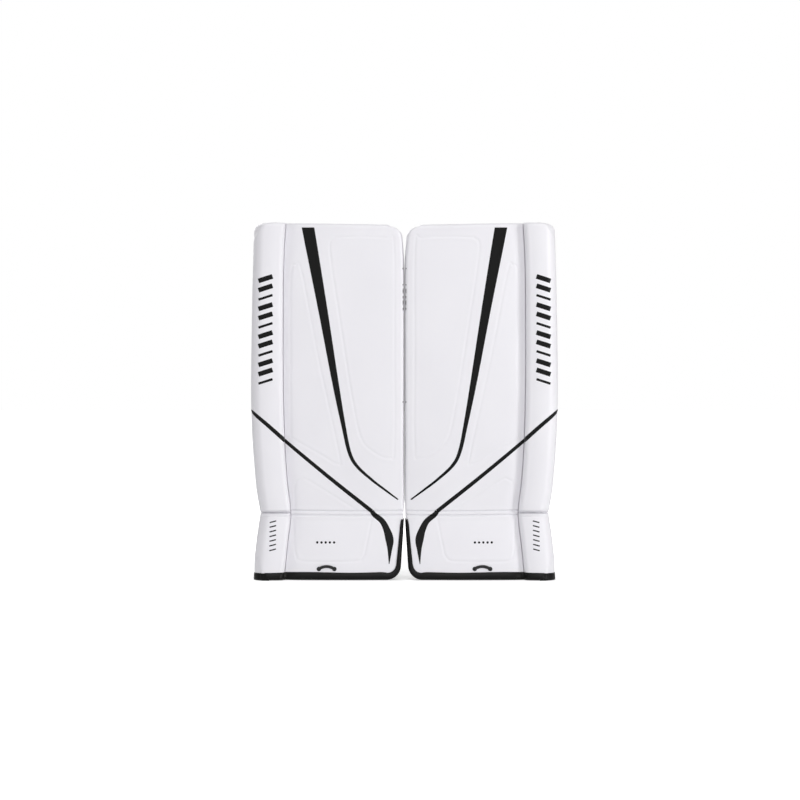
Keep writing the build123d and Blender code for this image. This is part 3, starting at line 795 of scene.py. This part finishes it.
def cord_point(share):
    """A point of the toe cord: share runs from -1 at the outer end to 1 at the inner end."""
    rise = CORD_RISE * (1 - share**2)
    depth = 2.7 * abs(share) ** 9 - CORD_LIFT
    return TOE_ROOT + np.array((CORD_HALF * share, 0, 0)) + BOOT_UP * rise + BOOT_IN * depth


cord_path = resample([cord_point(share) for share in np.linspace(-1, 1, 81)], 60)
both_sides("toe_cord", tube(cord_path, CORD_R, 16), CORD_SHEATH, body="toe_cord")


def ring_washer(centre, axis_in, outer_radius, inner_radius, height):
    """A rounded washer round a hole, lying on a skin whose inward direction is axis_in."""
    sides = 40
    turns = np.linspace(0, 2 * np.pi, sides, endpoint=False)
    across = np.array((1.0, 0, 0))
    up = np.cross(axis_in, across)
    circle = np.outer(np.cos(turns), across) + np.outer(np.sin(turns), up)
    profile = [(outer_radius, 0.6), (outer_radius, -0.5 * height), (outer_radius - 0.6, -height),
               (inner_radius + 0.6, -height), (inner_radius, -0.5 * height), (inner_radius, 0.6)]
    rings = [centre + radius * circle + axis_in * depth for radius, depth in profile]
    points, faces = loft(rings, capped=False)
    last = (len(profile) - 1) * sides
    faces += [[last + k, last + (k + 1) % sides, (k + 1) % sides, k] for k in range(sides)]
    return points, faces


eyelets = []
for end in (cord_point(-CORD_DIVE), cord_point(CORD_DIVE)):
    skin_y = front_skin(np.array([end[0]]), np.array([end[2]]))[0]
    spot = np.array((end[0], skin_y, end[2]))
    eyelets.append(ring_washer(spot, BOOT_IN, EYELET_OUTER, EYELET_HOLE, EYELET_PROUD))
both_sides("toe_eyelets", joined(*eyelets), EYELET_METAL, body="boot_section")


# --- padded pieces, stuffed by a cloth simulation
CLOTH = {"use_pressure": True, "vertex_group_mass": "held", "tension_stiffness": 14,
         "compression_stiffness": 10, "bending_stiffness": 0.4}
CLOTH_FRAMES = 20


def vectors(items, key):
    """The same vector of each of a mesh's items, as an array."""
    values = np.empty(len(items) * 3)
    items.foreach_get(key, values)
    return values.reshape(-1, 3)


def move_points(mesh, places):
    """Puts a mesh's points at places."""
    mesh.vertices.foreach_set("co", places.ravel())
    mesh.update()


def settled(trial):
    """A new mesh of an object with its modifiers worked in."""
    bpy.context.view_layer.update()
    return bpy.data.meshes.new_from_object(trial.evaluated_get(bpy.context.evaluated_depsgraph_get()))


def blown_up(trial, fixed, pressure):
    """Where an object's points end when it is inflated as cloth, with the fixed ones held."""
    scene = bpy.context.scene
    held = trial.vertex_groups.new(name="held")
    held.add([int(i) for i in fixed], 1.0, "REPLACE")
    cloth = trial.modifiers.new("cloth", "CLOTH")
    for key, value in CLOTH.items():
        setattr(cloth.settings, key, value)
    cloth.settings.uniform_pressure_force = pressure
    cloth.settings.effector_weights.gravity = 0
    cloth.collision_settings.use_collision = False
    cloth.point_cache.frame_start = 1
    cloth.point_cache.frame_end = CLOTH_FRAMES
    for step in range(1, CLOTH_FRAMES + 1):
        scene.frame_set(step)
    end = vectors(settled(trial).vertices, "co")
    scene.frame_set(1)
    trial.modifiers.clear()
    return end


def puffed(node, seams, pressure=4.0, grid=4.6, most=2.6, depth=1.8, width=3.4, rear=9.0):
    """The CAD solid of a cushion, remeshed, held along its sewn lines and blown up like stuffing.

    seams gives every point's distance to the nearest sewn line. The lines are pressed in by depth
    over width, no point moves further than most, and the rear face bulges by rear at the most.
    """
    trial = bpy.data.objects.new("trial", frame["nodes"][f"right_{node}"].data.copy())
    bpy.context.scene.collection.objects.link(trial)
    remesh = trial.modifiers.new("grid", "REMESH")
    remesh.mode = "VOXEL"
    remesh.voxel_size = grid * MM
    mesh = settled(trial)
    trial.modifiers.clear()
    trial.data = mesh

    start = vectors(mesh.vertices, "co")
    low, high = start.min(axis=0), start.max(axis=0)
    distance = seams(start / MM)
    start = start - vectors(mesh.vertices, "normal") * (depth * bell(distance, width)[:, None] * MM)
    move_points(mesh, start)
    end = blown_up(trial, np.nonzero(distance < grid * 0.8)[0], pressure)
    move = end - start
    far = np.linalg.norm(move, axis=1)[:, None]
    end = start + move * np.minimum(1, most * MM / np.maximum(far, 1e-9))
    end[:, 1] = np.clip(end[:, 1], low[1], high[1] + rear * MM)
    move_points(mesh, end)

    smooth = trial.modifiers.new("finer", "SUBSURF")
    smooth.levels = 1
    made = settled(trial)
    faces = [list(face.vertices) for face in made.polygons]
    bpy.data.objects.remove(trial)
    return vectors(made.vertices, "co") / MM, faces


def nearest_line(points, lines, front):
    """Distance in rear view from points to the nearest line; points in front of y = front don't count."""
    best = np.full(len(points), 1e3)
    for line in lines:
        best = np.minimum(best, distance_to(line, points[:, 0], points[:, 2]))
    return np.where(points[:, 1] < front, 1e3, best)


def surface_of(shape):
    """A search tree over a shape, for laying things on it."""
    points, faces = shape
    return BVHTree.FromPolygons(points.tolist(), faces)


def laid(tree, line, lift, origin_y=300.0):
    """Points (x, z) dropped from behind onto a shape, lift above it."""
    out = []
    for x, z in line:
        hit = tree.ray_cast(Vector((x, origin_y, z)), Vector((0, -1, 0)))[0]
        if hit is not None:
            out.append((hit.x, hit.y + lift, hit.z))
    return np.array(out)


def stitches(path, step=4.4, length=3.0, radius=0.42):
    """A row of short threads along a path."""
    path = np.asarray(path, float)
    total = length_of(path)
    count = max(2, int(total / step))
    even = resample(path, count * 4 + 1)
    shapes = []
    for k in range(count):
        first, last = even[4 * k], even[4 * k + 3]
        way = (last - first) / max(np.linalg.norm(last - first), 1e-6)
        middle = (first + last) / 2
        line = [middle + way * length * share for share in (-0.5, -0.3, 0.3, 0.5)]
        shapes.append(tube(line, [radius * 0.4, radius, radius, radius * 0.4], 6))
    return joined(*shapes)


def rounded_rect(low, high, corner, inset=0.0, count=10):
    """Closed outline (x, z) of a rectangle with round corners, drawn in by inset."""
    x0, z0 = low[0] + inset, low[1] + inset
    x1, z1 = high[0] - inset, high[1] - inset
    size = max(corner - inset, 0.3)
    outline = []
    for cx, cz, begin in ((x1 - size, z1 - size, 0), (x0 + size, z1 - size, 90),
                          (x0 + size, z0 + size, 180), (x1 - size, z0 + size, 270)):
        for turn in np.radians(np.linspace(begin, begin + 90, count)):
            outline.append((cx + size * math.cos(turn), cz + size * math.sin(turn)))
    return np.array(outline)


def as_is(x, y, z):
    """The place for a sheet that is drawn where it lies."""
    return x, y, z


def slab(low, high, corner, front_y, back_y, edge, place=as_is):
    """A flat sewn sheet with softly rounded edges. place turns its own x, y, z into the pad's."""
    rings = []
    for inset, y in ((edge, front_y), (edge * 0.3, front_y + edge * 0.3), (0, (front_y + back_y) / 2),
                     (edge * 0.3, back_y - edge * 0.3), (edge, back_y), (edge * 3, back_y + 0.25)):
        rings.append([place(x, y, z) for x, z in rounded_rect(low, high, corner, inset)])
    return loft(rings)


def hem(area, corner, inset, y, place=as_is):
    """A closed line along the inside of a sheet's edge."""
    line = [place(x, y, z) for x, z in rounded_rect(*area, corner, inset)]
    return line + line[:1]


def box_mark(low, high, y, place):
    """A sewn box with a cross in it."""
    corners = [(low[0], low[1]), (high[0], low[1]), (high[0], high[1]), (low[0], high[1])]
    lines = [corners + corners[:1], [corners[0], corners[2]], [corners[1], corners[3]]]
    return joined(*(stitches([place(x, y, z) for x, z in line], *SEWN) for line in lines))


# --- back panels
PANEL_CORNER = 18
PANEL_HEM = 3.2  # how far inside a panel's edge it is stitched


def boot_place(x, y, z):
    """The boot's own x, depth and height as a point of the pad."""
    return tuple(np.array((x, FACE_Y, BREAK_Z)) + y * BOOT_IN + z * BOOT_UP)


panel_area = ((panel_low[0], panel_low[2]), (panel_high[0] - 2, panel_high[2] - 6))
panel_sheet = slab(*panel_area, PANEL_CORNER, panel_low[1], panel_high[1] - 0.3, 0.7)
both_sides("back_panel", panel_sheet, PANEL_CLOTH)
panel_hem = hem(panel_area, PANEL_CORNER, PANEL_HEM, panel_high[1] + 0.05)
both_sides("back_panel_stitches", stitches(panel_hem, 5.0, 3.4, 0.4), WHITE_THREAD)

boot_panel_low, boot_panel_high = cad_box("right_boot_back_panel")
BOOT_DEPTH = DEPTH * math.cos(TILT)
boot_area = ((boot_panel_low[0], -106.0), (boot_panel_high[0], -8.0))
boot_sheet = slab(*boot_area, PANEL_CORNER, BOOT_DEPTH + 0.2, BOOT_DEPTH + 1.4, 0.6, boot_place)
both_sides("boot_back_panel", boot_sheet, PANEL_CLOTH, body="boot_section")
boot_hem = hem(boot_area, PANEL_CORNER, PANEL_HEM, BOOT_DEPTH + 1.65, boot_place)
both_sides("boot_panel_stitches", stitches(boot_hem, 5.0, 3.4, 0.4), WHITE_THREAD,
           body="boot_section")


# --- leg channel cushions
def cushion(node, lines, material, slot, front, thread=None, **more):
    """A stuffed cushion on the back panel, with stitching along its sewn lines if it has a thread.

    The lines are only sewn further back than front, measured from the cushion's own front.
    """
    low, high = cad_box(f"right_{node}")
    shape = puffed(node, lambda points: nearest_line(points, lines, low[1] + front), **more)
    both_sides(node, shape, material)
    if thread:
        tree = surface_of(shape)
        rows = [laid(tree, resample(line, max(8, int(length_of(line) / 3))), 0.15) for line in lines]
        rows = [stitches(row) for row in rows if len(row) > 6]
        if rows:
            both_sides(f"{node}_stitches", joined(*rows), thread)
    return shape


liner_low, liner_high = cad_box("right_leg_liner")
liner_rows = np.linspace(liner_low[2], liner_high[2], 6)[1:-1]
liner_lines = [[(liner_low[0] + 5, z), (liner_high[0] - 5, z)] for z in liner_rows]
cushion("leg_liner", liner_lines, LINER_KNIT, "knit_liner", 3, BLACK_THREAD)

thigh_low, thigh_high = cad_box("right_thigh_pad")
thigh_columns = np.linspace(thigh_low[0], thigh_high[0], 5)[1:-1]
thigh_lines = [[(x, thigh_low[2] + 5), (x, thigh_high[2] - 5)] for x in thigh_columns]
cushion("thigh_pad", thigh_lines, LINER_KNIT, "knit_liner", 3, BLACK_THREAD)

cradle_low, cradle_high = cad_box("right_knee_cradle")
cradle_middle = (cradle_low[0] + cradle_high[0]) / 2
cradle_lines = [[(cradle_middle + x, cradle_low[2] + 4), (cradle_middle + x, cradle_high[2] - 4)]
                for x in (-15, 15)]
cradle_rows = [[(cradle_low[0] + 4, z), (cradle_high[0] - 4, z)] for z in
               np.linspace(cradle_low[2], cradle_high[2], 4)[1:-1]]
cushion("knee_cradle", cradle_lines + cradle_rows, LINER_KNIT, "knit_liner", 6, BLACK_THREAD)

for node in ("knee_block", "calf_block"):
    low, high = cad_box(f"right_{node}")
    rim = rounded_rect((low[0], low[2]), (high[0], high[2]), 12, 3.2)
    rim = np.vstack([rim, rim[:1]])
    shape = cushion(node, [rim], BLOCK_SKIN, "block_cover", high[1] - low[1] - 12, depth=0.8, width=2.2,
                    rear=0.3)
    tree = surface_of(shape)
    path = laid(tree, resample(rounded_rect((low[0], low[2]), (high[0], high[2]), 12, 4.2), 120), 0.1)
    both_sides(f"{node}_piping", tube(path, 1.25, 8, closed=True), BLACK_SKIN)

# --- outer wings
WING_THICK = 13.0


BOW = 0.42  # where a wing's arc is furthest out, as a share of the way from the hinge to its rear end
TIP_INSET = 5.1  # how far inside the strap's hinge line a wing ends


class Wing:
    """A wing's middle line seen from above: an arc from its sewn hinge to its rear end."""

    def __init__(self, name):
        self.low, self.high = cad_box(f"right_{name}_wing")
        half = WING_THICK / 2
        hinge = np.array(JOINTS[f"right_{name}_wing_open"]["pos_m"])[:2] / MM
        self.root = np.array(JOINTS[f"right_{name}_strap_open"]["pos_m"])[:2] / MM
        middle = np.array((self.low[0] + half, BOW * (self.high[1] + hinge[1])))
        tip = np.array((self.root[0] + TIP_INSET, self.high[1] - half))
        self.centre, self.radius = circle_through(hinge, middle, tip)
        spots = (hinge - self.centre, tip - self.centre)
        self.begin, self.end = (math.atan2(spot[1], spot[0]) % (2 * math.pi) for spot in spots)

    def at(self, share, out=0.0):
        """A point (x, y) at a share of the arc's length, out of its outer side."""
        turn = self.begin + (self.end - self.begin) * share
        return self.centre + (self.radius + out) * np.array((math.cos(turn), math.sin(turn)))

    def line(self, spots, out):
        """Points of (share, height) spots laid out of the arc's outer side."""
        return [(*self.at(share, out), z) for share, z in spots]


def circle_through(a, b, c):
    """Centre and radius of the circle through three points."""
    m = np.array([b - a, c - a]) * 2
    v = np.array([b @ b - a @ a, c @ c - a @ a])
    centre = np.linalg.solve(m, v)
    return centre, np.linalg.norm(a - centre)


def ribbon(path, low, high, thick):
    """A band that follows a path seen from above, with its edges on heights low and high."""
    half = thick / 2
    outer = [(half * 0.3, low), (half, low + half), (half, (low + high) / 2), (half, high - half),
             (half * 0.3, high)]
    profile = outer + [(-out, z) for out, z in outer[::-1]]
    rings = [[(*(point + way * out), z) for out, z in profile] for point, way in zip(path, sideways(path))]
    return loft(rings)


def rounded_path(points, radius, per_bend=10):
    """A path through corner points with round bends."""
    p = [np.asarray(point, float) for point in points]
    out = [p[0]]
    for before, corner, after in zip(p, p[1:], p[2:]):
        reach_a = np.linalg.norm(before - corner)
        reach_b = np.linalg.norm(after - corner)
        a = (before - corner) / reach_a
        b = (after - corner) / reach_b
        half = math.acos(np.clip(a @ b, -1, 1)) / 2
        cut = min(radius / math.tan(half), 0.49 * reach_a, 0.49 * reach_b)
        start, end = corner + a * cut, corner + b * cut
        for t in np.linspace(0, 1, per_bend):
            out.append((1 - t) ** 2 * start + 2 * t * (1 - t) * corner + t**2 * end)
    out.append(p[-1])
    return np.array(out)


SEWN = (3.6, 2.4, 0.36)  # step, length and radius of the stitches on straps
STRAP_THICK = 2.5
ARC = 60  # about how long a wing's arc is, for spacing its stitches evenly


def padded_wing(part, wing):
    """A wing's cushion with its rows of stitches and the piping round its free edges."""
    body = f"{part}_wing"
    low, high = wing.low[2], wing.high[2]
    rows = np.linspace(low, high, 5)[1:-1]

    def to_row(points):
        return np.abs(points[:, 2:3] - rows[None, :]).min(axis=1)

    shape = puffed(body, to_row, most=2.0, depth=1.5)
    both_sides(body, shape, WING_CLOTH, body=body)
    arcs = [stitches(wing.line([(t, z) for t in np.linspace(0.05, 0.97, 40)], WING_THICK / 2 - 0.7))
            for z in rows]
    both_sides(f"{body}_stitches", joined(*arcs), WHITE_THREAD, body=body)
    around = [(t, low + 1.8) for t in np.linspace(0.16, 0.96, 24)]
    around += [(1.0, z) for z in np.linspace(low + 6, high - 6, 20)]
    around += [(t, high - 1.8) for t in np.linspace(0.96, 0.16, 24)]
    piping = catmull(wing.line(around, WING_THICK / 2 - 0.6), 2)
    both_sides(f"{body}_piping", tube(piping, 1.3, 8), BLACK_SKIN, body=body)


def strap_anchor(part, wing, strap_low, strap_high):
    """The tab and the keeper that hold a strap on its wing, with the seam round the tab."""
    body = f"{part}_wing"
    name = f"{part}_strap_anchor"
    low, high = cad_box(f"right_{name}")
    tab = [wing.at(t, WING_THICK / 2 + 1.0) for t in np.linspace(0.45, 0.88, 20)]
    keeper = [wing.at(t, WING_THICK / 2 + 2.3) for t in np.linspace(0.62, 0.98, 20)]
    bands = [ribbon(tab, low[2], high[2], 1.3), ribbon(keeper, strap_low[2] + 1, strap_high[2] - 1, 1.6)]
    both_sides(name, joined(*bands), BLACK_SKIN, body=body)
    bottom, top = low[2] + 4, high[2] - 4
    seam = np.array([(0.5, bottom), (0.83, bottom), (0.83, top), (0.5, top), (0.5, bottom)])
    seam = resample(seam * (ARC, 1), 60) / (ARC, 1)
    line = wing.line(seam, WING_THICK / 2 + 1.75)
    both_sides(f"{name}_stitches", stitches(line, *SEWN), WHITE_THREAD, body=body)


def wing_strap(part, wing, low, high):
    """A strap from its wing's rear end across to the loop patch on its block, with sewn ends."""
    name = f"{part}_strap"
    landing = cad_box(f"right_{part}_block")[1][1] + 1.6 + STRAP_THICK / 2
    back_y = high[1] - STRAP_THICK / 2
    corners = [wing.root, (-192, back_y), (-104, back_y), (-52, landing), (high[0] - 1.2, landing)]
    path = resample(rounded_path(corners, 16), 120)
    both_sides(name, ribbon(path, low[2], high[2], STRAP_THICK - 0.2), WEBBING, body=name)
    rear = path - 1.35 * sideways(path)
    bottom, top = low[2] + 4, high[2] - 4
    sewn = []
    for begin, end in ((4, 17), (101, 116)):
        corners = [(*rear[begin], bottom), (*rear[end], bottom), (*rear[end], top), (*rear[begin], top)]
        for order in ((0, 1, 2, 3, 0), (0, 2), (1, 3)):
            sewn.append(stitches([corners[k] for k in order], *SEWN))
    both_sides(f"{name}_stitches", joined(*sewn), WHITE_THREAD, body=name)


patches = []
patch_stitches = []
for part in ("knee", "calf"):
    wing = Wing(part)
    s_low, s_high = cad_box(f"right_{part}_strap")
    padded_wing(part, wing)
    strap_anchor(part, wing, s_low, s_high)
    wing_strap(part, wing, s_low, s_high)
    block_rear = cad_box(f"right_{part}_block")[1][1]
    area = ((-50, s_low[2] - 4), (-14, s_high[2] + 4))
    patches.append(slab(*area, 4, block_rear - 0.4, block_rear + 1.0, 0.4))
    patch_stitches.append(stitches(hem(area, 4, 2.0, block_rear + 1.15), 3.4, 2.2, 0.3))
both_sides("loop_patches", joined(*patches), LOOP_CLOTH)
both_sides("loop_patch_stitches", joined(*patch_stitches), BLACK_THREAD)

# --- ankle strap
ankle_root = np.array(JOINTS["right_ankle_strap_open"]["pos_m"]) / MM
ankle_offset = ankle_root - (0, FACE_Y, BREAK_Z)
ANKLE_UP = ankle_offset @ BOOT_UP
ANKLE_IN = ankle_offset @ BOOT_IN
ANKLE_WIDTH = 28.0
ANKLE_REACH = 104  # how far the strap's loop stands behind the boot
ankle_start = ankle_root[0]
ankle_end = cad_box("right_ankle_strap")[1][0] - STRAP_THICK / 2
reach = BOOT_DEPTH + ANKLE_REACH
corners = [(ankle_start, ANKLE_IN), (ankle_start, reach), (ankle_end, reach), (ankle_end, ANKLE_IN)]
band = resample(rounded_path(corners, 64, 24), 140)
points, faces = ribbon(band, ANKLE_UP - ANKLE_WIDTH / 2, ANKLE_UP + ANKLE_WIDTH / 2, STRAP_THICK - 0.2)
both_sides("ankle_strap", (np.array([boot_place(*p) for p in points]), faces), WEBBING,
           body="ankle_strap")
tabs, tab_stitches = [], []
for x in (ankle_start, ankle_end):
    area = ((x - 12, ANKLE_UP - 18), (x + 12, ANKLE_UP + 18))
    tabs.append(slab(*area, 3, BOOT_DEPTH + 1.5, BOOT_DEPTH + 3.0, 0.4, boot_place))
    tab_stitches.append(box_mark((x - 9, ANKLE_UP - 15), (x + 9, ANKLE_UP + 15), BOOT_DEPTH + 3.35,
                                 boot_place))
both_sides("ankle_strap_anchors", joined(*tabs), BLACK_SKIN, body="boot_section")
both_sides("ankle_anchor_stitches", joined(*tab_stitches), WHITE_THREAD, body="boot_section")

# --- the stiffener board, shown as it is in the frame
for side in ("right", "left"):
    board = frame["nodes"][f"{side}_stiffener_board"].data
    board.materials.clear()
    board.materials.append(BOARD)


# --- camera, light, floor
def light(name, size, power, place, aim, tint=(1, 1, 1)):
    """A square soft light: size, place and aim in metres, power in watts."""
    lamp = bpy.data.lights.new(name, "AREA")
    lamp.size = size
    lamp.energy = power
    lamp.color = tint
    made = bpy.data.objects.new(name, lamp)
    made.location = place
    made.rotation_euler = (Vector(aim) - Vector(place)).to_track_quat("-Z", "Y").to_euler()
    bpy.context.scene.collection.objects.link(made)


light("key", 1.0, 42, (3.0, -1.9, 0.9), (0, 0, 0.3))
light("front", 3.0, 146, (0.5, -5.0, 4.6), (0, 0, 0.2))
light("fill", 2.6, 10, (-2.4, -2.4, 0.9), (0, 0, 0.3), (0.95, 0.95, 1.0))
light("top", 3.0, 12, (0, 0.3, 3.2), (0, 0, 0))
light("behind", 2.0, 40, (-1.2, 2.8, 1.8), (0, 0, 0.3))

floor_shader = Nodes("floor")
far_off = floor_shader.add("ShaderNodeVectorMath", 1, {"operation": "LENGTH"}, _0=floor_shader.place)
glow = floor_shader.add("ShaderNodeMapRange", _0=far_off, _1=0.35, _2=1.2, _3=0.45, _4=1.0)
camera_only = floor_shader.math("MULTIPLY", glow, floor_shader.add("ShaderNodeLightPath"))
floor_paint = floor_shader.finish(rgba(0.93), 0.9, floor_shader.bump(floor_shader.noise(40), 0.02),
                                  Emission_Color=rgba(1.0), Emission_Strength=camera_only)
floor_mesh = bpy.data.meshes.new("floor")
floor_mesh.from_pydata([(-30, -9, 0), (30, -9, 0), (30, 60, 0), (-30, 60, 0)], [], [(0, 1, 2, 3)])
floor_mesh.materials.append(floor_paint)
floor_piece = bpy.data.objects.new("floor", floor_mesh)
floor_piece.location.z = -0.0006  # just under the pads, so that nothing flickers
bpy.context.scene.collection.objects.link(floor_piece)

world = bpy.data.worlds.new("studio")
world.use_nodes = True
bpy.context.scene.world = world
tree = world.node_tree
background = tree.nodes["Background"]
seen = tree.nodes.new("ShaderNodeLightPath").outputs["Is Camera Ray"]
strength = tree.nodes.new("ShaderNodeMapRange")
tree.links.new(seen, strength.inputs[0])
strength.inputs[3].default_value = 0.34
strength.inputs[4].default_value = 1.0
tree.links.new(strength.outputs[0], background.inputs["Strength"])
background.inputs["Color"].default_value = (1, 1, 1, 1)

bpy.context.scene.view_settings.view_transform = "Standard"
lens = bpy.data.cameras.new("camera")
lens.lens = 100
camera = bpy.data.objects.new("camera", lens)
VIEW_WIDTH = 1.427  # metres across the picture at the pad's face
away = VIEW_WIDTH * lens.lens / lens.sensor_width
camera.location = (-0.008, FACE_Y * MM - away, 0.319)
camera.rotation_euler = (math.pi / 2, 0, 0)
bpy.context.scene.collection.objects.link(camera)
bpy.context.scene.camera = camera
